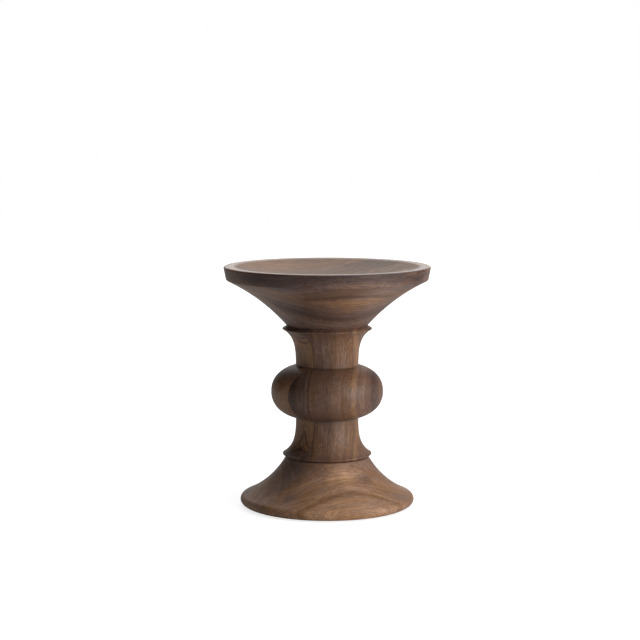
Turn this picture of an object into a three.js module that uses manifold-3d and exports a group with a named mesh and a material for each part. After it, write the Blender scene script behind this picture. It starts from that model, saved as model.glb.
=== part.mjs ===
// Turned walnut stool: a dished seat, a baluster column with a bulb, and a flared base.
// Each section is glued up from thick boards and turned, and dowels join the sections.
// Millimetres, +Z up, origin on the floor under the middle of the base.
// The front of the stool looks towards -Y.
import * as THREE from 'three';
import { mergeVertices } from 'three/addons/utils/BufferGeometryUtils.js';
import Module from 'manifold-3d';

const wasm = await Module();
wasm.setup();

// Driving dimensions of the whole stool, from the floor up
const glideProud = 1.5;
const baseHeight = 76.4;
const columnHeight = 208;
const seatHeight = 94.1;
const turnSegments = 72;
const coveSteps = 7;
const edgeDivisions = 1;
const undersideDivisions = 2;

// Seat: a thin rim over a wide cove, with a shallow dish in the top
const seatRadius = 162;
const rimTaper = 3.6;
const rimHeight = 21.6;
const rimEdge = 2.5;
const seatNeckRadius = 63.2;
const seatCoveSag = 6.1;
const lipWidth = 10;
const dishDepth = 20;
const dishSteps = 7;

// Column: a collar at each end, two necks and the bulb between them
const columnEndRadius = 63.2;
const lipRadius = 70.2;
const lipDrop = 4.8;
const neckRadius = 49.3;
const lipLead = 21.7;
const lipSlope = THREE.MathUtils.degToRad(35);
const neckLead = 32;
const bulbRadius = 88.2;
const bulbCoreRadius = 28.2;
const bulbHalfHeight = 42.9;
const bulbFullness = 2.23;
const bulbSteps = 7;
const scotiaSteps = 7;

// Base: a cove that runs out to a rounded nose
const baseRadius = 137.2;
const baseNeckRadius = 65.2;
const baseCoveSag = 7.4;
const noseHeight = 8.7;
const noseRound = 8.4;
const noseTurn = THREE.MathUtils.degToRad(66);
const noseUndercut = 12.4;
const footRadius = baseRadius - noseUndercut;

// Boards: where the glue lines run across the boards of each section, front to back, and how
// far the boards are turned from the X axis
const glueGap = 0.3;
const seatSeamShares = [ - 0.62, - 0.24, 0.24, 0.62 ];
const seatTurn = THREE.MathUtils.degToRad(16);
const columnSeam = 30;
const columnTurn = THREE.MathUtils.degToRad(27);
const baseSeamShares = [ - 0.64, - 0.285, 0.285, 0.64 ];
const baseTurn = THREE.MathUtils.degToRad(24);

// Dowels between the sections, all in the middle boards
const dowelRadius = 5;
const dowelDepth = 30;
const dowelCircleRadius = 32;
const dowelChamfer = 1;
const dowelClearance = 0.3;
const dowelsPerJoint = 4;
const dowelSides = 12;

// Glides nailed into counterbores under the base
const glideRadius = 10;
const glideThickness = 3;
const glideEdge = 0.6;
const glideInset = 20.8;
const glideCircleRadius = footRadius - glideInset;
const glideClearance = 0.3;
const glideCount = 4;
const glideSides = 16;
const nailRadius = 1.4;
const nailHeadRadius = 3.5;
const nailHeadHeight = 0.9;
const nailHeadSink = 0.5;
const nailLength = 16;
const nailTaper = 3;
const nailClearance = 0.3;
const nailSides = 10;

// One overrun for every cut
const overrun = 5;

// Levels where one section meets the next
const baseBottom = glideProud;
const baseTop = baseBottom + baseHeight;
const columnTop = baseTop + columnHeight;
const seatTop = columnTop + seatHeight;
const columnMiddle = (baseTop + columnTop) / 2;

// Finishes
const seatWood = { color: 0x5a4132, roughness: 0.5, metalness: 0 };
const columnWood = { color: 0x523a2c, roughness: 0.5, metalness: 0 };
const baseWood = { color: 0x624836, roughness: 0.5, metalness: 0 };
const dowelWood = { color: 0xb08a5c, roughness: 0.7, metalness: 0 };
const glideNylon = { color: 0x2a2724, roughness: 0.6, metalness: 0 };
const nailSteel = { color: 0x8d8f92, roughness: 0.35, metalness: 1 };

const stool = new THREE.Group();

function addPiece( name, geometry, finish ) {

	const piece = new THREE.Mesh( geometry, new THREE.MeshStandardMaterial( finish ) );
	piece.name = name;
	stool.add( piece );
	return piece;

}

// Shapes that several pieces share

// A solid turned about the Z axis, from an outline that starts and ends on the axis
function turned( points, segments ) {

	return new THREE.LatheGeometry( points, segments ).rotateX( Math.PI / 2 );

}

function toSolid( geometry ) {

	const bare = geometry.clone();
	bare.deleteAttribute( 'normal' );
	bare.deleteAttribute( 'uv' );
	const merged = mergeVertices( bare );
	const corners = merged.index.array;
	const kept = [];
	for ( let i = 0; i < corners.length; i += 3 ) {

		const [ a, b, c ] = corners.slice( i, i + 3 );
		if ( a !== b && b !== c && c !== a ) kept.push( a, b, c );

	}

	const mesh = new wasm.Mesh( {
		numProp: 3,
		vertProperties: new Float32Array( merged.attributes.position.array ),
		triVerts: new Uint32Array( kept )
	} );
	return new wasm.Manifold( mesh );

}

function toGeometry( solid ) {

	const mesh = solid.getMesh();
	const geometry = new THREE.BufferGeometry();
	geometry.setAttribute( 'position', new THREE.BufferAttribute( mesh.vertProperties, 3 ) );
	geometry.setIndex( new THREE.BufferAttribute( mesh.triVerts, 1 ) );
	geometry.computeVertexNormals();
	return geometry;

}

// Points of the round arc from start to end; the sag is how far its middle stands off the
// straight line, to the left of the way it runs when positive
function archedLine( start, end, sag, steps ) {

	const half = end.clone().sub( start ).divideScalar( 2 );
	const middle = start.clone().add( half );
	const left = new THREE.Vector2( - half.y, half.x ).normalize();
	const radius = ( half.lengthSq() + sag * sag ) / ( 2 * sag );
	const centre = middle.addScaledVector( left, sag - radius );
	const sweep = - 2 * Math.asin( half.length() / radius );
	const points = [];
	for ( let i = 0; i <= steps; i ++ ) {

		points.push( start.clone().rotateAround( centre, sweep * i / steps ) );

	}

	return points;

}

// The place of one of a ring of like pieces, turned from the X axis by the given angle
function ringPlace( radius, index, count, turn, z ) {

	const angle = turn + 2 * Math.PI * ( index + 0.5 ) / count;
	return new THREE.Vector3( radius * Math.cos( angle ), radius * Math.sin( angle ), z );

}

// The slab of a section between two glue lines, which run along the fibre
function slab( from, to, turn, bottom, top ) {

	const reach = 2 * ( seatRadius + baseRadius );
	const geometry = new THREE.BoxGeometry( reach, to - from, top - bottom + 2 * overrun );
	geometry.translate( 0, ( from + to ) / 2, ( top + bottom ) / 2 );
	return toSolid( geometry.rotateZ( turn ) );

}

// The boards of a turned section, front to back; each glue line takes half the gap from
// the board on either side of it
function cutBoards( section, seams, radius, turn, bottom, top ) {

	const edges = [ - radius - overrun, ...seams, radius + overrun ];
	const boards = [];
	for ( let i = 0; i + 1 < edges.length; i ++ ) {

		const board = slab( edges[ i ] + glueGap / 2, edges[ i + 1 ] - glueGap / 2, turn, bottom, top );
		boards.push( section.intersect( board ) );

	}

	return boards;

}

// Dowel holes in an end of a section, centred on the joint between two sections
function drillDowelHoles( section, jointHeight ) {

	const holeRadius = dowelRadius + dowelClearance;
	const holeLength = 2 * ( dowelDepth + dowelClearance );
	for ( let i = 0; i < dowelsPerJoint; i ++ ) {

		const hole = new THREE.CylinderGeometry( holeRadius, holeRadius, holeLength, dowelSides );
		const place = ringPlace( dowelCircleRadius, i, dowelsPerJoint, columnTurn, jointHeight );
		hole.rotateX( Math.PI / 2 ).translate( place.x, place.y, place.z );
		section = section.subtract( toSolid( hole ) );

	}

	return section;

}

// Seat

function seatOutline() {

	const rimBottom = seatTop - rimHeight;
	const rimLowRadius = seatRadius - rimTaper;
	const dishRadius = seatRadius - rimEdge - lipWidth;
	const neck = new THREE.Vector2( seatNeckRadius, columnTop );
	const rimLow = new THREE.Vector2( rimLowRadius, rimBottom );
	const edge = new THREE.Path();
	edge.absarc( seatRadius - rimEdge, seatTop - rimEdge, rimEdge, 0, Math.PI / 2 );
	const points = [ new THREE.Vector2( 0, columnTop ) ];
	points.push( ...archedLine( neck, rimLow, seatCoveSag, coveSteps ) );
	points.push( ...edge.getPoints( edgeDivisions ) );
	for ( let i = 0; i <= dishSteps; i ++ ) {

		const share = 1 - i / dishSteps;
		const drop = dishDepth * ( 1 - share * share );
		points.push( new THREE.Vector2( dishRadius * share, seatTop - drop ) );

	}

	return points;

}

const seatSolid = drillDowelHoles( toSolid( turned( seatOutline(), turnSegments ) ), columnTop );
const seatSeams = seatSeamShares.map( ( share ) => share * seatRadius );
const seatBoards = cutBoards( seatSolid, seatSeams, seatRadius, seatTurn, columnTop, seatTop );
const boardPlaces = [ 'front', 'mid_front', 'middle', 'mid_back', 'back' ];
boardPlaces.forEach( ( place, i ) => addPiece( `seat_board_${ place }`, toGeometry( seatBoards[ i ] ), seatWood ) );

// Column

// The upper half of the column, from the middle of the bulb to the end, as radius and height
// over the middle
function halfColumn() {

	const bulbReach = bulbRadius - bulbCoreRadius;
	const junctionShare = ( neckRadius - bulbCoreRadius ) / bulbReach;
	const junctionHeight = bulbHalfHeight
		* Math.pow( 1 - Math.pow( junctionShare, bulbFullness ), 1 / bulbFullness );
	const junctionAngle = Math.acos( Math.pow( junctionShare, bulbFullness / 2 ) );
	const points = [];
	for ( let i = 0; i < bulbSteps; i ++ ) {

		const angle = junctionAngle * i / bulbSteps;
		const out = bulbCoreRadius + bulbReach * Math.pow( Math.cos( angle ), 2 / bulbFullness );
		const up = bulbHalfHeight * Math.pow( Math.sin( angle ), 2 / bulbFullness );
		points.push( new THREE.Vector2( out, up ) );

	}

	const end = columnHeight / 2;
	const lipHeight = end - lipDrop;
	const scotia = new THREE.CubicBezierCurve(
		new THREE.Vector2( neckRadius, junctionHeight ),
		new THREE.Vector2( neckRadius, junctionHeight + neckLead ),
		new THREE.Vector2( lipRadius - lipLead * Math.cos( lipSlope ), lipHeight - lipLead * Math.sin( lipSlope ) ),
		new THREE.Vector2( lipRadius, lipHeight )
	);
	points.push( ...scotia.getPoints( scotiaSteps ) );
	points.push( new THREE.Vector2( columnEndRadius, end ) );
	return points;

}

function columnOutline() {

	const upper = halfColumn();
	const lower = upper.slice( 1 ).reverse().map( ( p ) => new THREE.Vector2( p.x, - p.y ) );
	const points = [ ...lower, ...upper ].map( ( p ) => new THREE.Vector2( p.x, columnMiddle + p.y ) );
	points[ 0 ].y = baseTop;
	points[ points.length - 1 ].y = columnTop;
	return [ new THREE.Vector2( 0, baseTop ), ...points, new THREE.Vector2( 0, columnTop ) ];

}

const columnBlank = drillDowelHoles( toSolid( turned( columnOutline(), turnSegments ) ), baseTop );
const columnSolid = drillDowelHoles( columnBlank, columnTop );
const columnSeams = [ - columnSeam, columnSeam ];
const columnBoards = cutBoards( columnSolid, columnSeams, bulbRadius, columnTurn, baseTop, columnTop );
const columnPlaces = [ 'front', 'middle', 'back' ];
columnPlaces.forEach( ( place, i ) => addPiece( `column_board_${ place }`, toGeometry( columnBoards[ i ] ), columnWood ) );

// Base

function baseOutline() {

	const noseLevel = baseBottom + noseHeight;
	const underside = new THREE.Path();
	underside.absellipse( footRadius, noseLevel, baseRadius - footRadius, noseHeight, - Math.PI / 2, 0 );
	const nose = new THREE.Path();
	nose.absarc( baseRadius - noseRound, noseLevel, noseRound, 0, noseTurn );
	const noseEnd = nose.getPoint( 1 );
	const neck = new THREE.Vector2( baseNeckRadius, baseTop );
	return [
		new THREE.Vector2( 0, baseBottom ),
		...underside.getPoints( undersideDivisions ),
		...nose.getPoints( edgeDivisions ),
		...archedLine( noseEnd, neck, baseCoveSag, coveSteps ),
		new THREE.Vector2( 0, baseTop )
	];

}

// The counterbore and pilot hole of one glide
function glidePocket( place ) {

	const boreRadius = glideRadius + glideClearance;
	const boreDepth = glideThickness - glideProud;
	const pilotRadius = nailRadius + nailClearance;
	const pilotDepth = nailHeadSink + nailLength + nailClearance;
	const bore = [
		[ 0, - overrun ], [ boreRadius, - overrun ], [ boreRadius, boreDepth ],
		[ pilotRadius, boreDepth ], [ pilotRadius, pilotDepth ], [ 0, pilotDepth ]
	].map( ( [ out, up ] ) => new THREE.Vector2( out, baseBottom + up ) );
	return toSolid( turned( bore, glideSides ).translate( place.x, place.y, 0 ) );

}

let baseSolid = drillDowelHoles( toSolid( turned( baseOutline(), turnSegments ) ), baseTop );
for ( let i = 0; i < glideCount; i ++ ) {

	const pocket = glidePocket( ringPlace( glideCircleRadius, i, glideCount, baseTurn, 0 ) );
	baseSolid = baseSolid.subtract( pocket );

}

const baseSeams = baseSeamShares.map( ( share ) => share * baseRadius );
const baseBoards = cutBoards( baseSolid, baseSeams, baseRadius, baseTurn, baseBottom, baseTop );
boardPlaces.forEach( ( place, i ) => addPiece( `base_board_${ place }`, toGeometry( baseBoards[ i ] ), baseWood ) );

// Dowels, half in the column and half in the seat or the base

function dowelGeometry() {

	const outline = [
		[ 0, - dowelDepth ], [ dowelRadius - dowelChamfer, - dowelDepth ], [ dowelRadius, dowelChamfer - dowelDepth ],
		[ dowelRadius, dowelDepth - dowelChamfer ], [ dowelRadius - dowelChamfer, dowelDepth ], [ 0, dowelDepth ]
	].map( ( [ out, up ] ) => new THREE.Vector2( out, up ) );
	return turned( outline, dowelSides );

}

for ( const [ section, jointHeight ] of [ [ 'base', baseTop ], [ 'seat', columnTop ] ] ) {

	for ( let i = 0; i < dowelsPerJoint; i ++ ) {

		const dowel = addPiece( `${ section }_dowel_${ i + 1 }`, dowelGeometry(), dowelWood );
		dowel.position.copy( ringPlace( dowelCircleRadius, i, dowelsPerJoint, columnTurn, jointHeight ) );

	}

}

// Glides and their nails, at the origin of their own place under the base

function glideGeometry() {

	const throughRadius = nailRadius + nailClearance;
	const headBoreRadius = nailHeadRadius + nailClearance;
	const headSeat = nailHeadSink + nailHeadHeight + nailClearance;
	const outline = [
		[ throughRadius, headSeat ], [ headBoreRadius, headSeat ], [ headBoreRadius, 0 ],
		[ glideRadius - glideEdge, 0 ], [ glideRadius, glideEdge ], [ glideRadius, glideThickness ],
		[ throughRadius, glideThickness ], [ throughRadius, headSeat ]
	].map( ( [ out, up ] ) => new THREE.Vector2( out, up ) );
	return turned( outline, glideSides );

}

function nailGeometry() {

	const headTop = nailHeadSink + nailHeadHeight;
	const tip = nailHeadSink + nailLength;
	const outline = [
		[ 0, nailHeadSink ], [ nailHeadRadius, nailHeadSink ], [ nailHeadRadius, headTop ],
		[ nailRadius, headTop ], [ nailRadius, tip - nailTaper ], [ 0, tip ]
	].map( ( [ out, up ] ) => new THREE.Vector2( out, up ) );
	return turned( outline, nailSides );

}

for ( let i = 0; i < glideCount; i ++ ) {

	const place = ringPlace( glideCircleRadius, i, glideCount, baseTurn, 0 );
	addPiece( `glide_${ i + 1 }`, glideGeometry(), glideNylon ).position.copy( place );
	addPiece( `glide_nail_${ i + 1 }`, nailGeometry(), nailSteel ).position.copy( place );

}

export default stool;
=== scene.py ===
import math

import bmesh
import bpy
from mathutils import Euler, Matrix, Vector


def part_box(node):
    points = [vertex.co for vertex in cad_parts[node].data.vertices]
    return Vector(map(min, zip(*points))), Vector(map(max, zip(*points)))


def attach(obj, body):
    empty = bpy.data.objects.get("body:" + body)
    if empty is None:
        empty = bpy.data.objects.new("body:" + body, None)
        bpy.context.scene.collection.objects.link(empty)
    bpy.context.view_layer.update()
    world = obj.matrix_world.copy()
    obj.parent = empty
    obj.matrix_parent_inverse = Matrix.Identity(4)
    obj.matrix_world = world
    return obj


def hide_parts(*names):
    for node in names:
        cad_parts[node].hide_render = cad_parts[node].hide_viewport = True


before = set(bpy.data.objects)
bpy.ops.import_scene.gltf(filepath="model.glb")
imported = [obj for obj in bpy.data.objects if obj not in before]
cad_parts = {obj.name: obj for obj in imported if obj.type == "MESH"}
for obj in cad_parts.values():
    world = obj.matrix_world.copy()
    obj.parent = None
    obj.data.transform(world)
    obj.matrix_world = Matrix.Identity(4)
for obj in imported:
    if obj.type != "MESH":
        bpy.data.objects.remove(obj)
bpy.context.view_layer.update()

# Glides
# Four dark nylon discs stand the stool clear of the floor. Each sits in a counterbore under the
# base, with a softened rim and a stepped hole for its nail.

MM = 0.001
GLIDES = 4
GLIDE_STEPS = 64
GLIDE_EDGE = 0.6 * MM
HEAD_BORE = 3.8 * MM
HEAD_SEAT = 1.7 * MM
NAIL_BORE = 1.7 * MM
NYLON_DARK = (0.016, 0.014, 0.012)
NYLON_PALE = (0.032, 0.029, 0.026)
SHARP = math.radians(34)
MERGE = 0.001 * MM


def smoothed_mesh(name, shape):
    """The bmesh as a mesh, smooth but for its sharp edges."""
    shape.normal_update()
    for face in shape.faces:
        face.smooth = True
    for edge in shape.edges:
        edge.smooth = edge.is_manifold and edge.calc_face_angle() < SHARP
    mesh = bpy.data.meshes.new(name)
    shape.to_mesh(mesh)
    shape.free()
    return mesh


def mesh_object(name, shape):
    """The bmesh as an object of its own."""
    made = bpy.data.objects.new(name, smoothed_mesh(name, shape))
    bpy.context.scene.collection.objects.link(made)
    return made


def turned(outline, steps, close=False):
    """A shape turned about the Z axis from (radius, height) points."""
    shape = bmesh.new()
    points = [shape.verts.new((radius, 0, height)) for radius, height in outline]
    ends = points[1:] + points[:1] if close else points[1:]
    lines = [shape.edges.new(pair) for pair in zip(points, ends)]
    bmesh.ops.spin(shape, geom=points + lines, cent=(0, 0, 0), axis=(0, 0, 1),
                   angle=2 * math.pi, steps=steps, use_merge=True)
    bmesh.ops.remove_doubles(shape, verts=shape.verts, dist=MERGE)
    bmesh.ops.recalc_face_normals(shape, faces=shape.faces)
    return shape


def eased(before, corner, after, size, steps=4):
    """The corner of an outline, rounded over the given size."""
    before, corner, after = Vector(before), Vector(corner), Vector(after)
    start = corner + (before - corner).normalized() * size
    end = corner + (after - corner).normalized() * size
    points = []
    for i in range(steps + 1):
        t = i / steps
        points.append(tuple(start * (1 - t) ** 2 + corner * 2 * t * (1 - t) + end * t ** 2))
    return points


def node(owner, kind, inputs=None, **settings):
    """A shader node of a material or of the world, with its settings, and its sockets linked or set."""
    made = owner.node_tree.nodes.new("ShaderNode" + kind)
    for key, value in settings.items():
        setattr(made, key, value)
    for socket, value in (inputs or {}).items():
        if isinstance(value, bpy.types.NodeSocket):
            owner.node_tree.links.new(value, made.inputs[socket])
        else:
            made.inputs[socket].default_value = value
    return made


def ramp(material, share, colours, interpolation="LINEAR"):
    """The colour at a share of the way along a row of colours, each with its place from 0 to 1."""
    made = node(material, "ValToRGB", {"Fac": share})
    made.color_ramp.interpolation = interpolation
    elements = made.color_ramp.elements
    while len(elements) < len(colours):
        elements.new(0.5)
    for element, (position, colour) in zip(elements, colours):
        element.position = position
        element.color = (*colour, 1)
    return made.outputs["Color"]


def new_material(name):
    """A material with no nodes yet."""
    material = bpy.data.materials.new(name)
    material.use_nodes = True
    material.node_tree.nodes.clear()
    return material


def finished(material, sockets):
    """The material with its Principled shader, whose sockets are linked or set."""
    shader = node(material, "BsdfPrincipled", sockets)
    node(material, "OutputMaterial", {"Surface": shader.outputs[0]})
    return material


def dress(piece, material, slot, *nodes):
    """The piece in its material, riding on the stool in place of its CAD nodes."""
    piece.data.materials.clear()
    piece.data.materials.append(material)
    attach(piece, "root")
    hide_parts(*nodes)


def nylon():
    """Dark moulded nylon, a little cloudy."""
    material = new_material("dark_nylon")
    place = node(material, "TexCoord").outputs["Object"]
    cloud = node(material, "TexNoise", {"Vector": place, "Scale": 900.0, "Detail": 3.0}).outputs["Fac"]
    tone = ramp(material, cloud, ((0, NYLON_DARK), (1, NYLON_PALE)))
    bump = node(material, "Bump", {"Height": cloud, "Strength": 0.2, "Distance": 0.05 * MM})
    return finished(material, {"Base Color": tone, "Roughness": 0.48, "Normal": bump.outputs["Normal"]})


nylon_finish = nylon()
for i in range(GLIDES):
    low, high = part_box(f"glide_{i + 1}")
    middle = (low + high) / 2
    radius = (high.x - low.x) / 2
    tall = high.z - low.z
    outline = [(NAIL_BORE, HEAD_SEAT), (HEAD_BORE - GLIDE_EDGE, HEAD_SEAT)]
    outline += eased((HEAD_BORE, HEAD_SEAT), (HEAD_BORE, 0), (radius, 0), GLIDE_EDGE)
    outline += eased((HEAD_BORE, 0), (radius, 0), (radius, tall), GLIDE_EDGE)
    outline += [(radius, tall), (NAIL_BORE, tall)]
    disc = turned(outline, GLIDE_STEPS, close=True)
    bmesh.ops.translate(disc, verts=disc.verts, vec=(middle.x, middle.y, low.z))
    dress(mesh_object(f"glide_disc_{i + 1}", disc), nylon_finish, "glide_nylon", f"glide_{i + 1}")

# Glide nails
# Bright steel nails with a low domed head. Each head sinks into its disc, and the shank is driven
# through the disc into the base.

NAIL_STEPS = 32
NAIL_RADIUS = 1.4 * MM
NAIL_TAPER = 3 * MM
NAIL_HEAD_HEIGHT = 0.9 * MM
NAIL_HEAD_EDGE = 0.35 * MM
NAIL_EDGE_RISE = 0.3 * MM
NAIL_CROWN_SHARE = 0.6
NAIL_CROWN_RISE = 0.08 * MM
STEEL = (0.55, 0.56, 0.57)
STEEL_ROUGHNESS = (0.24, 0.42)


def ranged(owner, value, start, end, low=0.0, high=1.0):
    """From low to high, as the value goes from start to end."""
    return node(owner, "MapRange", {"Value": value, "From Min": start, "From Max": end,
                                    "To Min": low, "To Max": high}).outputs["Result"]


def bright_steel():
    """Drawn steel with faint turning marks."""
    material = new_material("bright_steel")
    place = node(material, "TexCoord").outputs["Object"]
    marks = node(material, "TexNoise", {"Vector": place, "Scale": 2600.0, "Detail": 2.0}).outputs["Fac"]
    rough = ranged(material, marks, 0, 1, *STEEL_ROUGHNESS)
    return finished(material, {"Base Color": (*STEEL, 1), "Metallic": 1.0, "Roughness": rough})


steel_finish = bright_steel()
for i in range(GLIDES):
    low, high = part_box(f"glide_nail_{i + 1}")
    middle = (low + high) / 2
    head = (high.x - low.x) / 2
    crown = head * NAIL_CROWN_SHARE
    shoulder = low.z + NAIL_HEAD_HEIGHT
    outline = [(0, low.z), (crown, low.z + NAIL_CROWN_RISE)]
    outline += eased((crown, low.z), (head, low.z + NAIL_EDGE_RISE), (head, shoulder), NAIL_HEAD_EDGE)
    outline += [(head, shoulder), (NAIL_RADIUS, shoulder)]
    outline += [(NAIL_RADIUS, high.z - NAIL_TAPER), (0, high.z)]
    nail = turned(outline, NAIL_STEPS)
    bmesh.ops.translate(nail, verts=nail.verts, vec=(middle.x, middle.y, 0))
    piece = mesh_object(f"glide_nail_head_{i + 1}", nail)
    dress(piece, steel_finish, "nail_steel", f"glide_nail_{i + 1}")

# Dowels
# Plain beech dowels, glued half into the column and half into the seat or the base. The wood
# closes them in on all sides.

BEECH_DARK = (0.36, 0.2, 0.1)
BEECH_PALE = (0.56, 0.37, 0.21)
FLECK_SCALE = (900.0, 900.0, 120.0)


def beech():
    """Pale beech with its short dark flecks along the dowel."""
    material = new_material("beech")
    place = node(material, "TexCoord").outputs["Object"]
    along = node(material, "Mapping", {"Vector": place, "Scale": FLECK_SCALE}).outputs[0]
    fleck = node(material, "TexNoise", {"Vector": along, "Scale": 1.0, "Detail": 3.0}).outputs["Fac"]
    tone = ramp(material, fleck, ((0, BEECH_DARK), (1, BEECH_PALE)))
    return finished(material, {"Base Color": tone, "Roughness": 0.62})


beech_finish = beech()
for name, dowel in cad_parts.items():
    if "_dowel_" in name:
        dowel.data.materials.clear()
        dowel.data.materials.append(beech_finish)

# Base
# Five walnut boards, edge-glued and turned together, so that the fibre lies across the base.
# The cove runs out to a rounded nose, and the underside is flat, with counterbores for the
# glides and holes for the dowels.

TURN_STEPS = 180
GLUE_LINE = 0.1 * MM
BOARD_PLACES = ("front", "mid_front", "middle", "mid_back", "back")
BASE_TURN = math.radians(24)
BASE_SEAM_SHARES = (-0.64, -0.285, 0.285, 0.64)
BASE_NECK_RADIUS = 65.2 * MM
BASE_COVE_SAG = 7.4 * MM
BASE_COVE_STEPS = 40
NOSE_HEIGHT = 8.7 * MM
NOSE_ROUND = 8.4 * MM
NOSE_TURN = math.radians(66)
NOSE_STEPS = 10
NOSE_UNDERCUT = 12.4 * MM
UNDERCUT_STEPS = 14

# how far out the ring of points lies that keeps the shading of a flat end flat
FLAT_SHARE = 0.97

DOWELS = 4
DOWEL_NAMES = {end: [f"{end}_dowel_{i + 1}" for i in range(DOWELS)] for end in ("base", "seat")}
DOWEL_CLEARANCE = 0.3 * MM
GLIDE_CLEARANCE = 0.3 * MM
HOLE_STEPS = 32

# how much narrower than its head a nail's hole in the base is, all round
NAIL_HEAD_MARGIN = 1.8 * MM


def arched(start, end, sag, steps):
    """Points of the round arc from start to end, which stands off its chord by the sag."""
    start, end = Vector(start), Vector(end)
    half = (end - start) / 2
    left = Vector((-half.y, half.x)).normalized()
    radius = (half.length_squared + sag * sag) / (2 * sag)
    centre = start + half + left * (sag - radius)
    arm = start - centre
    sweep = -2 * math.asin(half.length / radius)
    points = []
    for i in range(steps + 1):
        angle = sweep * i / steps
        swung = Vector((arm.x * math.cos(angle) - arm.y * math.sin(angle),
                        arm.x * math.sin(angle) + arm.y * math.cos(angle)))
        points.append(tuple(centre + swung))
    return points


def elliptic(centre, wide, tall, first, last, steps):
    """Points of an arc of an ellipse, between two angles."""
    angles = [first + (last - first) * i / steps for i in range(steps + 1)]
    return [(centre[0] + wide * math.cos(a), centre[1] + tall * math.sin(a)) for a in angles]


def board_of(section, front, back, turn):
    """The board of a turned section between two glue lines that lie across the front."""
    shape = section.copy()
    across = Vector((-math.sin(turn), math.cos(turn), 0))
    for offset, side in ((front, -1), (back, 1)):
        if offset is None:
            continue
        cut = bmesh.ops.bisect_plane(
            shape, geom=shape.verts[:] + shape.edges[:] + shape.faces[:], dist=MERGE,
            plane_co=across * (offset - side * GLUE_LINE / 2), plane_no=across * side, clear_outer=True)
        edges = [part for part in cut["geom_cut"] if isinstance(part, bmesh.types.BMEdge)]
        bmesh.ops.contextual_create(shape, geom=edges)
    bmesh.ops.recalc_face_normals(shape, faces=shape.faces)
    return shape


def drilled(piece, cutter):
    """The piece with the shape of the cutter taken out of it."""
    tool = mesh_object("cutter", cutter)
    holes = piece.modifiers.new("holes", "BOOLEAN")
    holes.operation = "DIFFERENCE"
    holes.solver = "MANIFOLD"
    holes.object = tool
    bpy.context.view_layer.update()
    shape = bmesh.new()
    shape.from_object(piece, bpy.context.evaluated_depsgraph_get())
    piece.modifiers.clear()
    piece.data = smoothed_mesh(piece.name, shape)
    bpy.data.objects.remove(tool)


def holes_for(names, clearance, depth):
    """Round holes for CAD nodes, wider by the clearance all round and deeper at both ends."""
    shape = bmesh.new()
    for name in names:
        low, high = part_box(name)
        radius = (high.x - low.x) / 2 + clearance
        hole = bmesh.ops.create_cone(shape, cap_ends=True, segments=HOLE_STEPS, radius1=radius,
                                     radius2=radius, depth=high.z - low.z + 2 * depth)
        middle = (low + high) / 2
        bmesh.ops.translate(shape, verts=hole["verts"], vec=middle)
    return shape


# the wood's two browns at a middle tone, and how closely their red, green and blue follow the tone
GOLDEN = (0.215, 0.104, 0.046)
GOLDEN_LEAN = (0.92, 1.05, 1.2)
PLUM = (0.175, 0.11, 0.092)
PLUM_LEAN = (0.95, 1.05, 1.05)

# tones are in stops: those at which the browns are set, and the most that a band has
STOPS = (-2.4, -1.6, -0.8, 0.0, 0.8, 1.6)
BAND_STOPS = 2.0

# how far the share of plum swings from place to place
TINT_SWING = 1.2

# how far the rings waver, and how long a year keeps its tone along the fibre, in millimetres
WAVER = 2.5
YEAR_LENGTH = 260

# how many years the dark lines swing by, and how sharply each one comes at the end of its year
YEAR_SWING = 1.6
YEAR_EDGE = 5.0

# the noise at which a pore starts, and at which it is fully dark
PORE_RANGE = (0.6, 0.72)

# what is left of a swell or a stain at its reach
SPOT_EDGE = 0.4

# an oiled satin finish, and the relief of its streaks and pores
WALNUT_ROUGHNESS = (0.4, 0.54)
WALNUT_SHEEN = 0.35
STREAK_SHARE = 0.4
GRAIN_DEPTH = 0.06 * MM
GRAIN_STRENGTH = 0.2

# the seat's lip, worn smooth and painted lighter, partly as wear and partly as painted sheen: its tone,
# its depth below the top, and how smooth it is
WORN_AND_SHEEN_TONE = 1.2
WORN_AND_SHEEN_SHARE = 0.6
WORN_AND_SHEEN_START = 1.8 * MM
WORN_AND_SHEEN_FULLY = 0.8 * MM
RUBBED_SMOOTHER = 0.24


def maths(owner, operation, *values):
    """A maths node's result."""
    return node(owner, "Math", dict(enumerate(values)), operation=operation).outputs[0]


def vector_maths(owner, operation, *values):
    """A vector maths node's vector."""
    return node(owner, "VectorMath", dict(enumerate(values)), operation=operation).outputs["Vector"]


def vector_measure(owner, operation, *values):
    """A vector maths node's number."""
    return node(owner, "VectorMath", dict(enumerate(values)), operation=operation).outputs["Value"]


def mixed(owner, kind, share, first, second):
    """Two numbers or colours, mixed by the share of the second."""
    made = node(owner, "Mix", {"Factor": share, "A": first, "B": second}, data_type=kind)
    return made.outputs["Result"]


def banded(material, reach, bands):
    """The tone and the share of plum of the bands, at the reach from the pith."""
    nearest, furthest = bands[0][0], bands[-1][0]
    colours = []
    for distance, tone, plum in bands:
        place = (distance - nearest) / (furthest - nearest)
        colours.append((place, ((tone + BAND_STOPS) / (2 * BAND_STOPS), plum, 0)))
    colour = ramp(material, ranged(material, reach, nearest, furthest), colours, "EASE")
    band = node(material, "SeparateColor", {"Color": colour}).outputs
    tone = maths(material, "MULTIPLY_ADD", band["Red"], 2 * BAND_STOPS, -BAND_STOPS)
    return tone, band["Green"]


def brown(material, tone, tint):
    """The colour of a tone in stops, between the golden and the plum brown."""
    share = ranged(material, tone, STOPS[0], STOPS[-1])
    hues = []
    for colour, lean in ((GOLDEN, GOLDEN_LEAN), (PLUM, PLUM_LEAN)):
        shades = []
        for stop in STOPS:
            shade = [part * 2 ** (stop * pull) for part, pull in zip(colour, lean)]
            shades.append(((stop - STOPS[0]) / (STOPS[-1] - STOPS[0]), shade))
        hues.append(ramp(material, share, shades))
    tint = maths(material, "MINIMUM", maths(material, "MAXIMUM", tint, 0.0), 1.0)
    return mixed(material, "RGBA", tint, *hues)


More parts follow.
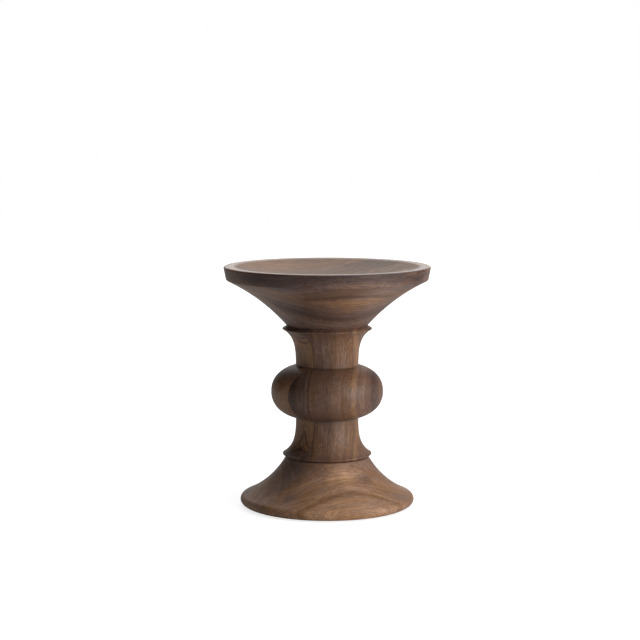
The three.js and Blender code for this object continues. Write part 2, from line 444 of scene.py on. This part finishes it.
def walnut(name, fibre, pith, bands, swells=(), stains=(), ring=4.5, wander=12, grain=1.0, lip=None):
    """Oiled walnut for one board, in millimetres in the board's own frame, whose X runs along
    the fibre. Growth rings lie round the pith, a line along the fibre. A band has its distance
    from the pith, its tone in stops and its share of plum. A swell is a place where the rings
    bulge: its centre, its reach and its lift. A stain has its centre, its reach and its change of
    tone and of plum. A lip is the height of a top edge that is worn smooth and painted lighter,
    partly as wear and partly as a painted sheen."""
    material = new_material(name)
    place = node(material, "TexCoord").outputs["Object"]
    board = node(material, "Mapping", {"Vector": place, "Rotation": fibre, "Scale": (MM, MM, MM)},
                 vector_type="TEXTURE").outputs[0]
    wood = vector_maths(material, "SUBTRACT", board, pith)

    def noise(along, across, detail, output="Fac"):
        """Noise with its own size along the fibre and across it."""
        vector = vector_maths(material, "MULTIPLY", wood, (1 / along, 1 / across, 1 / across))
        made = node(material, "TexNoise", {"Vector": vector, "Scale": 1.0, "Detail": detail})
        return made.outputs[output]

    def swing(along, across, detail, reach):
        """A sideways shift that changes from place to place, with its whole range as its reach."""
        colour = noise(along, across, detail, "Color")
        centred = vector_maths(material, "SUBTRACT", colour, (0.5, 0.5, 0.5))
        return vector_maths(material, "MULTIPLY", centred, (0, reach, reach))

    def spot(centre, reach):
        """One at the centre, fading out past the reach."""
        away = vector_maths(material, "SUBTRACT", board, centre)
        away = vector_maths(material, "DIVIDE", away, reach)
        return maths(material, "POWER", SPOT_EDGE, vector_measure(material, "DOT_PRODUCT", away, away))

    # the rings wander slowly, waver over short lengths, and bulge at the swells
    bent = vector_maths(material, "MULTIPLY", wood, (0, 1, 1))
    bent = vector_maths(material, "ADD", bent, swing(230, 90, 1.0, wander))
    bent = vector_maths(material, "ADD", bent, swing(50, 12, 2.0, WAVER))
    reach = vector_measure(material, "LENGTH", bent)
    for centre, size, lift in swells:
        reach = maths(material, "MULTIPLY_ADD", spot(centre, size), lift, reach)
    tone, tint = banded(material, reach, bands)

    # years of uneven tone, each ending in a dark line
    years = maths(material, "DIVIDE", reach, ring)
    lengthways = node(material, "SeparateXYZ", {"Vector": wood}).outputs["X"]
    lengthways = maths(material, "DIVIDE", lengthways, YEAR_LENGTH)
    year = node(material, "CombineXYZ", {"X": lengthways, "Y": years}).outputs[0]
    uneven = node(material, "TexNoise", {"Vector": year, "Scale": 1.0, "Detail": 4.0}).outputs["Fac"]
    line = maths(material, "FRACT", maths(material, "MULTIPLY_ADD", uneven, YEAR_SWING, years))
    line = maths(material, "POWER", line, YEAR_EDGE)

    # fibre streaks, mottle, flecks and pores; each part has its middle and its weight in stops
    streak = noise(80, 1.3, 3.0)
    mottle = noise(20, 7, 2.0)
    fleck = noise(8, 1.6, 1.0)
    pores = ranged(material, noise(7, 0.42, 1.0), *PORE_RANGE)
    figure = ((uneven, 0.5, 1.5), (line, 0.17, -0.22 * grain), (streak, 0.5, 1.5 * grain),
              (mottle, 0.5, 0.9), (fleck, 0.5, 0.8 * grain), (pores, 0.08, -0.5))
    for part, middle, weight in figure:
        tone = maths(material, "MULTIPLY_ADD", maths(material, "SUBTRACT", part, middle), weight, tone)
    change = maths(material, "SUBTRACT", noise(150, 11, 2.0), 0.5)
    tint = maths(material, "MULTIPLY_ADD", change, TINT_SWING, tint)
    for centre, size, tone_change, plum_change in stains:
        here = spot(centre, size)
        tone = maths(material, "MULTIPLY_ADD", here, tone_change, tone)
        tint = maths(material, "MULTIPLY_ADD", here, plum_change, tint)

    rough = ranged(material, streak, 0, 1, *WALNUT_ROUGHNESS)
    if lip:
        # the lip's lighter tone is partly wear and partly a painted sheen; its roughness drops as it is
        # worn smooth
        level = node(material, "SeparateXYZ", {"Vector": place}).outputs["Z"]
        worn_and_sheen = ranged(material, level, lip - WORN_AND_SHEEN_START, lip - WORN_AND_SHEEN_FULLY)
        change = maths(material, "SUBTRACT", WORN_AND_SHEEN_TONE, tone)
        share = maths(material, "MULTIPLY", worn_and_sheen, WORN_AND_SHEEN_SHARE)
        tone = maths(material, "MULTIPLY_ADD", share, change, tone)
        rough = maths(material, "MULTIPLY_ADD", worn_and_sheen, -RUBBED_SMOOTHER, rough)

    height = maths(material, "SUBTRACT", maths(material, "MULTIPLY", streak, STREAK_SHARE), pores)
    bump = node(material, "Bump", {"Height": height, "Strength": GRAIN_STRENGTH, "Distance": GRAIN_DEPTH})
    return finished(material, {"Base Color": brown(material, tone, tint), "Roughness": rough,
                               "Specular IOR Level": WALNUT_SHEEN, "Normal": bump.outputs["Normal"]})


base_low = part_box("base_board_middle")[0].z
base_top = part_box("base_board_middle")[1].z
base_radius = max(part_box(f"base_board_{place}")[1].x for place in BOARD_PLACES)
foot_radius = base_radius - NOSE_UNDERCUT
nose_level = base_low + NOSE_HEIGHT
undercut = elliptic((foot_radius, nose_level), NOSE_UNDERCUT, NOSE_HEIGHT, -math.pi / 2, 0,
                    UNDERCUT_STEPS)
nose = elliptic((base_radius - NOSE_ROUND, nose_level), NOSE_ROUND, NOSE_ROUND, 0, NOSE_TURN, NOSE_STEPS)
base_cove = arched(nose[-1], (BASE_NECK_RADIUS, base_top), BASE_COVE_SAG, BASE_COVE_STEPS)
base_outline = [(0, base_low), (foot_radius * FLAT_SHARE, base_low)]
base_outline += undercut + nose[1:] + base_cove[1:]
base_outline += [(BASE_NECK_RADIUS * FLAT_SHARE, base_top), (0, base_top)]

# the fibre runs a few degrees off the glue lines
BASE_FIBRE = (0, 0, math.radians(20))
base_seams = [None] + [share * base_radius for share in BASE_SEAM_SHARES] + [None]
base_woods = {
    "front": walnut(
        "base_front_walnut", BASE_FIBRE, pith=(-20, 160, -50),
        bands=((252, 0.45, 0.6), (262, 0.55, 0.35), (270, 0.7, 0.2), (275, 0.3, 0.15),
               (281, 0.8, 0.15), (286, 1.0, 0.15), (298, 1.0, 0.15), (306, 1.15, 0.15)),
        swells=(((28, -115, 25), (30, 14, 12), 5),),
        ring=7, grain=1.3),
    "mid_front": walnut(
        "base_mid_front_walnut", BASE_FIBRE, pith=(260, -20, 80),
        bands=((24, 0.3, 0.6), (32, 0.45, 0.55), (40, 0.35, 0.45), (46, 0.45, 0.3), (53, 0.75, 0.3),
               (62, 0.65, 0.2), (74, 0.55, 0.2), (86, 0.57, 0.3), (100, 0.65, 0.3)),
        stains=(((3, -76, 62), (11, 16, 17), 0.5, -0.1),
                ((-20, -75, 57), (20, 8, 2.5), 0.4, -0.1),
                ((28, -70, 63), (8, 6, 3), 0.45, -0.1),
                ((36, -76, 53), (16, 9, 6), -0.8, 0.35),
                ((-34, -70, 63), (9, 12, 14), -0.35, 0.1),
                ((-87, -69, 29), (20, 8, 8), -0.3, 0.6)),
        grain=1.2),
    "middle": walnut(
        "base_middle_walnut", BASE_FIBRE, pith=(700, 40, -60),
        bands=((80, 1.3, 0.45), (100, 1.1, 0.5), (115, 0.95, 0.6), (135, 0.6, 0.85), (150, 0.35, 0.9))),
    "mid_back": walnut(
        "base_mid_back_walnut", BASE_FIBRE, pith=(-700, 150, -40),
        bands=((60, 0.6, 0.3), (100, 0.4, 0.4), (130, 0.7, 0.2), (180, 0.3, 0.4))),
    "back": walnut(
        "base_back_walnut", BASE_FIBRE, pith=(1300, 20, -60),
        bands=((60, 0.3, 0.4), (110, 0.6, 0.2), (140, 0.3, 0.5), (180, 0.7, 0.3))),
}
base_section = turned(base_outline, TURN_STEPS)
for i, place in enumerate(BOARD_PLACES):
    shape = board_of(base_section, base_seams[i], base_seams[i + 1], BASE_TURN)
    piece = mesh_object(f"base_{place}_walnut_board", shape)
    if place == "middle":
        drilled(piece, holes_for(DOWEL_NAMES["base"], DOWEL_CLEARANCE, DOWEL_CLEARANCE))
    if place.startswith("mid_"):
        discs = [f"glide_{n + 1}" for n in range(GLIDES)]
        nails = [f"glide_nail_{n + 1}" for n in range(GLIDES)]
        drilled(piece, holes_for(discs, GLIDE_CLEARANCE, 0))
        drilled(piece, holes_for(nails, -NAIL_HEAD_MARGIN, GLIDE_CLEARANCE))
    dress(piece, base_woods[place], "base_wood", f"base_board_{place}")

# Column
# Three thick walnut boards, glued face to face and turned upright: a collar at each end, two
# necks and the bulb between them. The glue lines show on the bulb and the necks.

COLUMN_PLACES = ("front", "middle", "back")
COLUMN_TURN = math.radians(27)
COLUMN_SEAM = 30 * MM
COLUMN_END_RADIUS = 63.2 * MM
LIP_RADIUS = 70.2 * MM
LIP_DROP = 4.8 * MM
LIP_LEAD = 21.7 * MM
LIP_SLOPE = math.radians(35)
LIP_LAND = 1.6 * MM
LIP_EDGE = 0.5 * MM
NECK_RADIUS = 49.3 * MM
NECK_LEAD = 32 * MM
SCOTIA_STEPS = 30
BULB_RADIUS = 88.2 * MM
BULB_CORE = 28.2 * MM
BULB_HALF_HEIGHT = 42.9 * MM
BULB_FULLNESS = 2.23
BULB_STEPS = 36


def curved(start, leading, closing, end, steps):
    """Points of a Bezier curve from start to end, drawn by the two points between them."""
    points = []
    for i in range(steps + 1):
        t = i / steps
        weights = ((1 - t) ** 3, 3 * t * (1 - t) ** 2, 3 * t * t * (1 - t), t ** 3)
        pulls = [Vector(p) * weight for p, weight in zip((start, leading, closing, end), weights)]
        points.append(tuple(sum(pulls, Vector((0, 0)))))
    return points


def half_column(half_height):
    """The upper half of the column, from the middle of the bulb, as radius and height."""
    reach = BULB_RADIUS - BULB_CORE
    neck_share = (NECK_RADIUS - BULB_CORE) / reach
    neck_height = BULB_HALF_HEIGHT * (1 - neck_share ** BULB_FULLNESS) ** (1 / BULB_FULLNESS)
    neck_angle = math.acos(neck_share ** (BULB_FULLNESS / 2))
    bulb = []
    for i in range(BULB_STEPS):
        angle = neck_angle * i / BULB_STEPS
        bulb.append((BULB_CORE + reach * math.cos(angle) ** (2 / BULB_FULLNESS),
                     BULB_HALF_HEIGHT * math.sin(angle) ** (2 / BULB_FULLNESS)))
    lip = (LIP_RADIUS, half_height - LIP_DROP)
    inward = (LIP_RADIUS - LIP_LEAD * math.cos(LIP_SLOPE), lip[1] - LIP_LEAD * math.sin(LIP_SLOPE))
    neck, upward = (NECK_RADIUS, neck_height), (NECK_RADIUS, neck_height + NECK_LEAD)
    scotia = curved(neck, upward, inward, lip, SCOTIA_STEPS)
    low_edge = Vector((LIP_RADIUS, lip[1] - LIP_LAND / 2))
    high_edge = Vector((LIP_RADIUS, lip[1] + LIP_LAND / 2))
    end = (COLUMN_END_RADIUS, half_height)
    tip = eased(scotia[-3], low_edge, high_edge, LIP_EDGE) + eased(low_edge, high_edge, end, LIP_EDGE)
    return bulb + scotia[:-2] + tip + [end, (COLUMN_END_RADIUS * FLAT_SHARE, half_height)]


column_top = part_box("column_board_middle")[1].z
column_middle = (base_top + column_top) / 2
upper = half_column((column_top - base_top) / 2)
lower = [(radius, -height) for radius, height in reversed(upper[1:])]
column_outline = [(radius, column_middle + height) for radius, height in lower + upper]
column_outline = [(0, base_top)] + column_outline + [(0, column_top)]
column_seams = [None, -COLUMN_SEAM, COLUMN_SEAM, None]

# painted shade darkens the wood in the creases beside the bulb, and more widely in the lower one,
# under the bulb; in millimetres, as the stains of the boards are
CREASE_REACH = (1.4, 62, 62)
LOW_CREASE_REACH = (5, 75, 75)
LOW_CREASE_RISE = 3
creases = [(column_middle + side * upper[BULB_STEPS][1]) / MM for side in (-1, 1)]
painted_crease_shade = [((level, 0, 0), CREASE_REACH, -0.8, 0.1) for level in creases]
painted_crease_shade += [((creases[0] + LOW_CREASE_RISE, 0, 0), LOW_CREASE_REACH, -0.6, 0.1)]

UPRIGHT = (0, -math.pi / 2, COLUMN_TURN)
# the front and middle boards carry the painted crease shade among their stains
column_woods = {
    "front": walnut(
        "column_front_walnut", UPRIGHT, pith=(150, 181, 334),
        bands=((334, -1.1, 0.5), (350, -0.75, 0.85), (357, -0.45, 0.85), (362, -0.75, 0.4),
               (368, -0.25, 0.5), (376, -0.45, 0.6), (386, -0.65, 0.6), (396, -0.4, 0.5),
               (404, -0.2, 0.4), (412, -0.3, 0.2), (421, -0.25, 0.3), (427, 0.45, 0.2),
               (431, -0.1, 0.45), (436, 0.05, 0.45), (447, -0.15, 0.6), (454, -1.05, 0.85),
               (458, -0.7, 0.85), (464, -0.1, 0.5)),
        stains=[((250, -40, 20), (24, 24, 34), 0.25, -0.1),
                ((107, -40, 20), (24, 24, 34), 0.45, -0.2)] + painted_crease_shade,
        ring=3.6, wander=6, grain=1.5),
    "middle": walnut(
        "column_middle_walnut", UPRIGHT, pith=(700, 42, -120),
        bands=((98, 0.4, 0.2), (112, 0.2, 0.3), (150, -0.1, 0.3), (168, 0.3, 0.1),
               (182, 0.4, 0.1), (183, -0.9, 0.3), (184.2, 0.5, 0.1), (186, 0.2, 0.3),
               (187.2, -0.8, 0.5), (189, 0.0, 0.6), (192, -0.4, 0.7), (197, -0.3, 0.6),
               (202, 0.1, 0.3), (208, 0.4, 0.3), (216, 0.4, 0.2)),
        swells=(((262, -19, 51), (22, 16, 40), 1.5),
                ((118, -15, 48), (24, 16, 40), 5.6)),
        stains=painted_crease_shade, ring=4.5, wander=1, grain=1.3),
    "back": walnut(
        "column_back_walnut", UPRIGHT, pith=(-800, -130, 40),
        bands=((120, -0.2, 0.4), (170, -0.5, 0.5), (190, -0.1, 0.3), (220, -0.4, 0.5)),
        ring=4.2),
}
column_section = turned(column_outline, TURN_STEPS)
for i, place in enumerate(COLUMN_PLACES):
    shape = board_of(column_section, column_seams[i], column_seams[i + 1], COLUMN_TURN)
    piece = mesh_object(f"column_{place}_walnut_board", shape)
    if place == "middle":
        dowels = DOWEL_NAMES["base"] + DOWEL_NAMES["seat"]
        drilled(piece, holes_for(dowels, DOWEL_CLEARANCE, DOWEL_CLEARANCE))
    dress(piece, column_woods[place], "column_wood", f"column_board_{place}")

# Seat
# Five walnut boards, edge-glued and turned together. A wide cove spreads from the column to
# the thin rim, and the top is a shallow dish inside a lip that falls a little outwards.

SEAT_TURN = math.radians(16)
SEAT_SEAM_SHARES = (-0.62, -0.24, 0.24, 0.62)
SEAT_NECK_RADIUS = 63.2 * MM
SEAT_COVE_SAG = 6.1 * MM
SEAT_COVE_STEPS = 44
RIM_HEIGHT = 21.6 * MM
RIM_TAPER = 3.6 * MM
RIM_EDGE = 2.5 * MM
RIM_LOW_EDGE = 1.6 * MM
RIM_STEPS = 8
LIP_WIDTH = 11 * MM
LIP_FALL = 0.6 * MM
DISH_DEPTH = 20 * MM
DISH_STEPS = 36
DISH_EDGE = 9 * MM
DISH_EDGE_STEPS = 8

seat_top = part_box("seat_board_middle")[1].z
seat_radius = max(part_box(f"seat_board_{place}")[1].x for place in BOARD_PLACES)
rim_low = (seat_radius - RIM_TAPER, seat_top - RIM_HEIGHT)
rim_high = (seat_radius - RIM_EDGE, seat_top - LIP_FALL)
rim_centre = (rim_high[0], rim_high[1] - RIM_EDGE)
dish_radius = rim_high[0] - LIP_WIDTH
dish = []
for i in range(DISH_STEPS + 1):
    radius = dish_radius * (1 - i / DISH_STEPS)
    dish.append((radius, seat_top - DISH_DEPTH * (1 - (radius / dish_radius) ** 2)))
seat_cove = arched((SEAT_NECK_RADIUS, column_top), rim_low, SEAT_COVE_SAG, SEAT_COVE_STEPS)
seat_outline = [(0, column_top), (SEAT_NECK_RADIUS * FLAT_SHARE, column_top)]
seat_outline += seat_cove[:-1]
seat_outline += eased(seat_cove[-2], rim_low, (seat_radius, seat_top), RIM_LOW_EDGE)
seat_outline += elliptic(rim_centre, RIM_EDGE, RIM_EDGE, 0, math.pi / 2, RIM_STEPS)
seat_outline += eased(rim_high, dish[0], dish[1], DISH_EDGE, DISH_EDGE_STEPS)
seat_outline += dish[2:]

SEAT_FIBRE = (0, 0, math.radians(20))
seat_seams = [None] + [share * seat_radius for share in SEAT_SEAM_SHARES] + [None]
# each seat board's lip is painted lighter, partly as wear and partly as painted sheen
seat_woods = {
    "front": walnut(
        "seat_front_walnut", SEAT_FIBRE, pith=(60, -95, 490),
        bands=((112, -1.45, 0.8), (120, -1.3, 0.9), (128, -1.45, 1.0), (133, -1.0, 1.0),
               (138, -0.35, 0.9), (143, -0.1, 0.7), (147, 0.1, 0.55), (152.5, -0.35, 0.5),
               (158, 0.5, 0.35), (163, 0.5, 0.25), (168, 0.1, 0.25)),
        stains=(((105, -125, 374), (40, 40, 12), 0.7, -0.2),
                ((86, -136, 375), (16, 12, 2.5), 0.7, -0.3),
                ((102, -123, 367), (20, 16, 3), -0.8, -0.1),
                ((40, -138, 350), (36, 24, 12), 0.6, 0.0),
                ((0, -112, 333), (46, 12, 4), 0.35, -0.15),
                ((0, -106, 366), (95, 26, 10), 0.9, -0.35),
                ((-60, -105, 338), (35, 45, 25), -0.4, 0.1),
                ((-28, -118, 337), (16, 8, 2.5), -0.4, 0.1),
                ((-56, -147, 359), (16, 8, 2.5), -0.5, 0.1),
                ((35, -118, 338), (35, 45, 25), 0.25, 0.0),
                ((100, -126, 375), (9, 9, 1.8), -0.9, 0.0),
                ((112, -115, 371.5), (10, 10, 2), -0.9, 0.1),
                ((84, -137, 371.5), (10, 8, 1.8), -0.6, 0.0),
                ((97, -126, 367), (9, 8, 1.8), -0.5, 0.0)),
        wander=8, grain=1.4, lip=seat_top),
    "mid_front": walnut(
        "seat_mid_front_walnut", SEAT_FIBRE, pith=(330, -10, 200),
        bands=((96, -0.45, 0.8), (104, -0.3, 0.8), (113, -0.1, 0.7), (118, -0.55, 0.6),
               (124, -1.0, 0.65), (129, -0.95, 0.75), (135, -0.4, 0.8), (141, -0.3, 0.75),
               (148, 0.1, 0.55), (158, 0.2, 0.5), (168, 0.2, 0.15), (185, 0.2, 0.1)),
        stains=(((-135, -85, 370), (90, 60, 12), -1.85, 0.8),
                ((130, -95, 370), (24, 34, 14), -0.4, 0.85),
                ((128, -48, 379), (25, 30, 6), 0.6, -0.2),
                ((-60, -85, 328), (35, 45, 25), -0.35, 0.1),
                ((-57, -84, 323), (14, 8, 3), -0.35, 0.1),
                ((38, -90, 322), (30, 40, 22), 0.3, 0.0),
                ((122, -103, 370.5), (12, 12, 2.2), -0.7, 0.2),
                ((112, -52, 374), (14, 20, 3), 0.8, 0.0)),
        grain=1.4, lip=seat_top),
    "middle": walnut(
        "seat_middle_walnut", SEAT_FIBRE, pith=(700, 40, 240),
        bands=((66, -0.4, 0.9), (88, -0.2, 0.8), (100, 0.1, 0.5), (120, 0.3, 0.3), (150, 0.3, 0.1),
               (190, 0.0, 0.3)),
        stains=(((-165, -20, 367), (50, 50, 10), -1.2, 0.4),
                ((112, -52, 374), (14, 20, 3), 0.8, 0.0)),
        grain=1.4, lip=seat_top),
    "mid_back": walnut(
        "seat_mid_back_walnut", SEAT_FIBRE, pith=(-700, 120, 250),
        bands=((60, 0.1, 0.15), (100, 0.3, 0.05), (130, 0.0, 0.25), (180, 0.3, 0.05)),
        stains=(((-70, 80, 372), (60, 60, 14), 0.4, -0.1),
                ((125, 65, 378), (50, 60, 12), -0.35, 0.3)),
        grain=1.4, lip=seat_top),
    "back": walnut(
        "seat_back_walnut", SEAT_FIBRE, pith=(1300, 60, 470),
        bands=((60, -0.1, 0.3), (100, 0.2, 0.1), (130, -0.2, 0.3), (180, 0.2, 0.1)),
        stains=(((-60, 120, 377), (60, 60, 14), 0.35, -0.1),),
        grain=1.4, lip=seat_top),
}
seat_section = turned(seat_outline, TURN_STEPS)
for i, place in enumerate(BOARD_PLACES):
    shape = board_of(seat_section, seat_seams[i], seat_seams[i + 1], SEAT_TURN)
    piece = mesh_object(f"seat_{place}_walnut_board", shape)
    if place == "middle":
        drilled(piece, holes_for(DOWEL_NAMES["seat"], DOWEL_CLEARANCE, DOWEL_CLEARANCE))
    dress(piece, seat_woods[place], "seat_wood", f"seat_board_{place}")

# Floor
# A pale sweep under and behind the stool. What the camera sees of it is lifted to white, and
# it keeps the soft shadow of the foot.

FLOOR_HALF_WIDTH = 6.0
FLOOR_COLOUR = (0.78, 0.78, 0.78)
FLOOR_LIFT = 0.8


def floor_finish():
    """Matt pale paper, lifted to white for the camera."""
    material = new_material("pale_floor")
    seen = node(material, "LightPath").outputs["Is Camera Ray"]
    lift = maths(material, "MULTIPLY", seen, FLOOR_LIFT)
    return finished(material, {"Base Color": (*FLOOR_COLOUR, 1), "Roughness": 0.9,
                               "Specular IOR Level": 0.0,
                               "Emission Color": (1, 1, 1, 1), "Emission Strength": lift})


sweep = bmesh.new()
bmesh.ops.create_grid(sweep, x_segments=1, y_segments=1, size=FLOOR_HALF_WIDTH)
floor = mesh_object("floor", sweep)
floor.data.materials.append(floor_finish())

# Studio light
# Round soft lamps: a strong one low on the right, and weaker ones above it, overhead and behind,
# so that the left side falls into shade. The camera sees plain white, and reflections show a pale
# backdrop and the lamps at a limited brightness.

# each lamp's strength, its turn from the camera to the right and its rise, in degrees
LAMPS = {
    "low right": (12.9, 60, 3),
    "right": (1.3, 60, 18),
    "high right": (3.2, 75, 60),
    "overhead": (2.6, 0, 88),
    "behind": (2.0, 180, 35),
}
LAMP_TIGHTNESS = 24
SHEEN_LIMIT = 2.0

# the pale backdrop is a wider glow behind the stool, and fades out between two heights
BACKDROP = (1.0, 180, 8)
BACKDROP_TIGHTNESS = 10
BACKDROP_FADE = (0.17, 0.34)

world = bpy.data.worlds.new("studio")
world.use_nodes = True
world.node_tree.nodes.clear()
bpy.context.scene.world = world


def glow(strength, turn, rise, tightness):
    """A round soft glow, at a turn from the camera to the right and a rise, in degrees."""
    turn, rise = math.radians(turn), math.radians(rise)
    heading = (math.sin(turn) * math.cos(rise), -math.cos(turn) * math.cos(rise), math.sin(rise))
    facing = maths(world, "MAXIMUM", vector_measure(world, "DOT_PRODUCT", way, heading), 0.0)
    return maths(world, "MULTIPLY", maths(world, "POWER", facing, tightness), strength)


way = node(world, "TexCoord").outputs["Generated"]
light = 0.0
for lamp in LAMPS.values():
    light = maths(world, "ADD", light, glow(*lamp, LAMP_TIGHTNESS))
height = node(world, "SeparateXYZ", {"Vector": way}).outputs["Z"]
band = ranged(world, height, *BACKDROP_FADE, 1.0, 0.0)
backdrop = maths(world, "MULTIPLY", band, glow(*BACKDROP, BACKDROP_TIGHTNESS))
sheen = maths(world, "ADD", maths(world, "MINIMUM", light, SHEEN_LIMIT), backdrop)
ray = node(world, "LightPath").outputs
glossy = maths(world, "MAXIMUM", ray["Is Glossy Ray"], ray["Is Transmission Ray"])
light = mixed(world, "FLOAT", glossy, light, sheen)
light = mixed(world, "FLOAT", ray["Is Camera Ray"], light, 1.0)
air = node(world, "Background", {"Color": (1, 1, 1, 1), "Strength": light})
node(world, "OutputWorld", {"Surface": air.outputs[0]})

# Camera
# A long lens a little above the stool, aimed slightly down. The stool stands just right of
# the middle of the picture.

PICTURE = 640
FOCUS_PIXELS = 1813.3
AXIS_PIXEL = 327.2
CAMERA_AWAY = 2.8259
CAMERA_HEIGHT = 0.6254
CAMERA_PITCH = 0.11674

camera = bpy.data.cameras.new("camera")
camera.sensor_width = 36
camera.lens = camera.sensor_width * FOCUS_PIXELS / PICTURE
camera_aside = -(AXIS_PIXEL - PICTURE / 2) / FOCUS_PIXELS * CAMERA_AWAY
view = bpy.data.objects.new("camera", camera)
bpy.context.scene.collection.objects.link(view)
view.location = (camera_aside, -CAMERA_AWAY, CAMERA_HEIGHT)
view.rotation_euler = Euler((math.pi / 2 - CAMERA_PITCH, 0, 0))
bpy.context.scene.camera = view
bpy.context.scene.view_settings.view_transform = "Standard"
